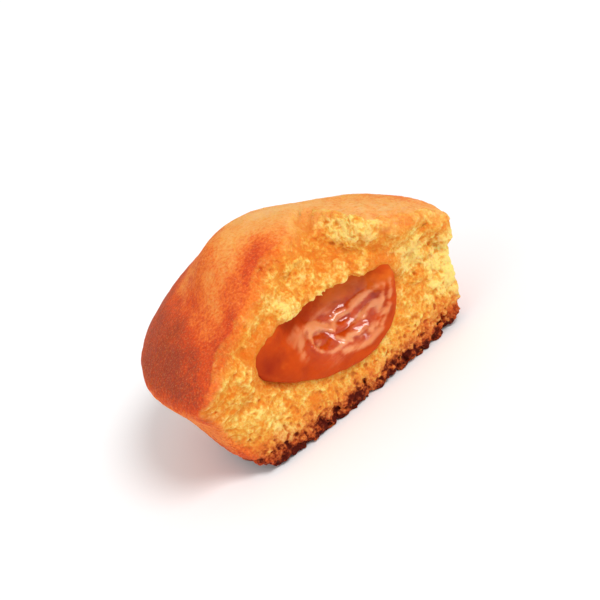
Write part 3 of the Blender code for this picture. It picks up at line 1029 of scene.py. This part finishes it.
def jam_finish(jam):
    """Glossy, translucent orange jam."""
    finish = Finish("glossy_jam")
    cloud = finish.noise(3.5)
    fine = finish.noise(0.6)
    streaks = finish.noise(3.2, stretch=(0.5, 1.0, 1.8))
    hollow = finish.attribute("hollow")
    crest = finish.attribute("crest")
    # Painted shade: the deep colour in the jam's hollows and at its ends, the bright one on its bulges.
    unshaded = finish.attribute("bulge") * 1.2 + cloud * 0.5 - finish.attribute("ends") * 0.4
    shade = finish.mix(finish.ramp(unshaded, -0.35, 0.15), jam.painted_shade, jam.bright)
    film = finish.ramp(finish.attribute("film") + cloud * 1.5, 0.2, 0.9)
    shade = finish.mix(film, shade, jam.amber)
    # A painted sheen: pale in the hollow, in level streaks and along the folds' crests.
    pale = crest * 0.8 + streaks * 3.4 + fine * 0.4 - 0.1
    painted_sheen = finish.ramp(pale, -0.1, 0.8) * finish.ramp(hollow + crest * 0.3, 0.15, 0.7)
    shade = finish.mix(painted_sheen, shade, jam.pale)
    return finish.surface({
        "Base Color": shade, "Roughness": 0.6 - hollow * 0.3,
        "Normal": finish.bump(fine * 0.4 + streaks, 0.4, 0.0005),
        "Subsurface Weight": 0.3, "Subsurface Radius": (1.0, 0.25, 0.05), "Subsurface Scale": 0.0015,
        "Specular IOR Level": 0.1, "Coat Weight": finish.ramp(hollow, 0.2, 0.7), "Coat Roughness": 0.12,
    })


# ----------
# Operators
# ----------
class MUFFIN_OT_cake(bpy.types.Operator):
    """Grow the crumb, the skin and the burnt edge over the cake's solid"""

    bl_idname = "muffin.cake"
    bl_label = "Cake"

    def execute(self, context):
        settings = context.scene.muffin_crumb
        piece = decimated(mesh_piece("cake_crumb", *grow_cake(settings)), MOST_TRIANGLES)
        piece.data.materials.append(cake_finish(settings, context.scene.muffin_crust))
        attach(piece, "root")
        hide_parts("cake")
        return {"FINISHED"}


class MUFFIN_OT_jam(bpy.types.Operator):
    """Fold and wrinkle the jam in its pocket"""

    bl_idname = "muffin.jam"
    bl_label = "Jam"

    def execute(self, context):
        settings = context.scene.muffin_jam
        piece = mesh_piece("jam", *grow_jam(settings))
        piece.data.materials.append(jam_finish(settings))
        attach(piece, "root")
        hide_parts("jam_filling")
        return {"FINISHED"}


FLOOR_HALF = 1.5
FLOOR_COLOUR = (0.97, 0.97, 0.97, 1.0)

# Where a light comes from, as parts to the camera's right, towards the camera and up, and how wide it is.
KEY_SOURCE = (0.42, 0.45, 0.75)
KEY_WIDTH = math.radians(24)
FILL_SOURCE = (-0.7, 0.5, 0.4)
FILL_WIDTH = math.radians(60)

SENSOR_WIDTH = 36.0
CLIP_START = 0.01
UP = Vector((0.0, 0.0, 1.0))


def heading(settings):
    """Level directions: to the camera's right, and from the muffin towards the camera."""
    sin_a, cos_a = math.sin(settings.azimuth), math.cos(settings.azimuth)
    return Vector((cos_a, -sin_a, 0.0)), Vector((-sin_a, -cos_a, 0.0))


def view_axes(settings):
    """Right, up and forward of the camera."""
    level, towards = heading(settings)
    sin_e, cos_e = math.sin(settings.elevation), math.cos(settings.elevation)
    upright = cos_e * UP - sin_e * towards
    sin_r, cos_r = math.sin(settings.roll), math.cos(settings.roll)
    return cos_r * level - sin_r * upright, sin_r * level + cos_r * upright, -cos_e * towards - sin_e * UP


def lay_floor(scene):
    """A plain pale floor under the muffin's base."""
    mesh = bpy.data.meshes.new("floor")
    corners = ((-1, -1), (1, -1), (1, 1), (-1, 1))
    mesh.from_pydata([(FLOOR_HALF * x, FLOOR_HALF * y, 0.0) for x, y in corners], [], [(0, 1, 2, 3)])
    floor = bpy.data.objects.new("floor", mesh)
    scene.collection.objects.link(floor)
    floor.data.materials.append(
        Finish("pale_floor").surface({"Base Color": FLOOR_COLOUR, "Roughness": 0.9})
    )


def soft_light(scene, name, strength, width, source):
    """A far, wide light that shines from the direction of source."""
    data = bpy.data.lights.new(name, "SUN")
    data.energy = strength
    data.angle = width
    light = bpy.data.objects.new(name, data)
    scene.collection.objects.link(light)
    light.location = source
    light.rotation_euler = (-source).to_track_quat("-Z", "Y").to_euler()


def light_up(scene, settings):
    """A wide key light, a wider fill light on the other side, and an even white room."""
    level, towards = heading(settings)
    for name, strength, width, (right, near, up) in (
        ("key", settings.key_strength, KEY_WIDTH, KEY_SOURCE),
        ("fill", settings.fill_strength, FILL_WIDTH, FILL_SOURCE),
    ):
        soft_light(scene, name, strength, width, right * level + near * towards + up * UP)
    world = bpy.data.worlds.new("room")
    world.use_nodes = True
    background = world.node_tree.nodes["Background"]
    background.inputs["Color"].default_value = (1.0, 1.0, 1.0, 1.0)
    background.inputs["Strength"].default_value = settings.world_light
    scene.world = world
    scene.view_settings.view_transform = "Standard"


def place_camera(scene, settings):
    """A rolled camera that looks at the aim from its distance."""
    right, upward, forward = view_axes(settings)
    data = bpy.data.cameras.new("camera")
    data.lens = settings.lens
    data.sensor_width = SENSOR_WIDTH
    data.clip_start = CLIP_START
    camera = bpy.data.objects.new("camera", data)
    scene.collection.objects.link(camera)
    turn = Matrix((right, upward, -forward)).transposed().to_4x4()
    camera.matrix_world = Matrix.Translation(Vector(settings.aim) - forward * settings.distance) @ turn
    scene.camera = camera


class MUFFIN_OT_stage(bpy.types.Operator):
    """Set the floor, the soft light and the camera"""

    bl_idname = "muffin.stage"
    bl_label = "Stage"

    def execute(self, context):
        lay_floor(context.scene)
        light_up(context.scene, context.scene.muffin_stage)
        place_camera(context.scene, context.scene.muffin_stage)
        return {"FINISHED"}


class MUFFIN_PT_panel(bpy.types.Panel):
    """Lists the muffin's pieces and their settings"""

    bl_idname = "MUFFIN_PT_panel"
    bl_label = "Jam muffin"
    bl_space_type = "VIEW_3D"
    bl_region_type = "UI"
    bl_category = "Muffin"

    def draw(self, context):
        scene = context.scene
        for operator, groups in (
            (MUFFIN_OT_cake, (scene.muffin_crumb, scene.muffin_crust)),
            (MUFFIN_OT_jam, (scene.muffin_jam,)),
            (MUFFIN_OT_stage, (scene.muffin_stage,)),
        ):
            box = self.layout.box()
            box.operator(operator.bl_idname)
            for group in groups:
                for name in group.__annotations__:
                    box.prop(group, name)


GROUPS = {
    "muffin_crumb": CrumbSettings, "muffin_crust": CrustSettings,
    "muffin_jam": JamSettings, "muffin_stage": StageSettings,
}
CLASSES = (*GROUPS.values(), MUFFIN_OT_cake, MUFFIN_OT_jam, MUFFIN_OT_stage, MUFFIN_PT_panel)


def register():
    """Makes the settings, operators and panel known to Blender."""
    for cls in CLASSES:
        bpy.utils.register_class(cls)
    for name, group in GROUPS.items():
        setattr(bpy.types.Scene, name, PointerProperty(type=group))


def unregister():
    """Takes them away again."""
    for name in GROUPS:
        delattr(bpy.types.Scene, name)
    for cls in reversed(CLASSES):
        bpy.utils.unregister_class(cls)


def main():
    """Makes every piece."""
    register()
    bpy.ops.muffin.stage()
    bpy.ops.muffin.cake()
    bpy.ops.muffin.jam()


if __name__ == "__main__":
    main()
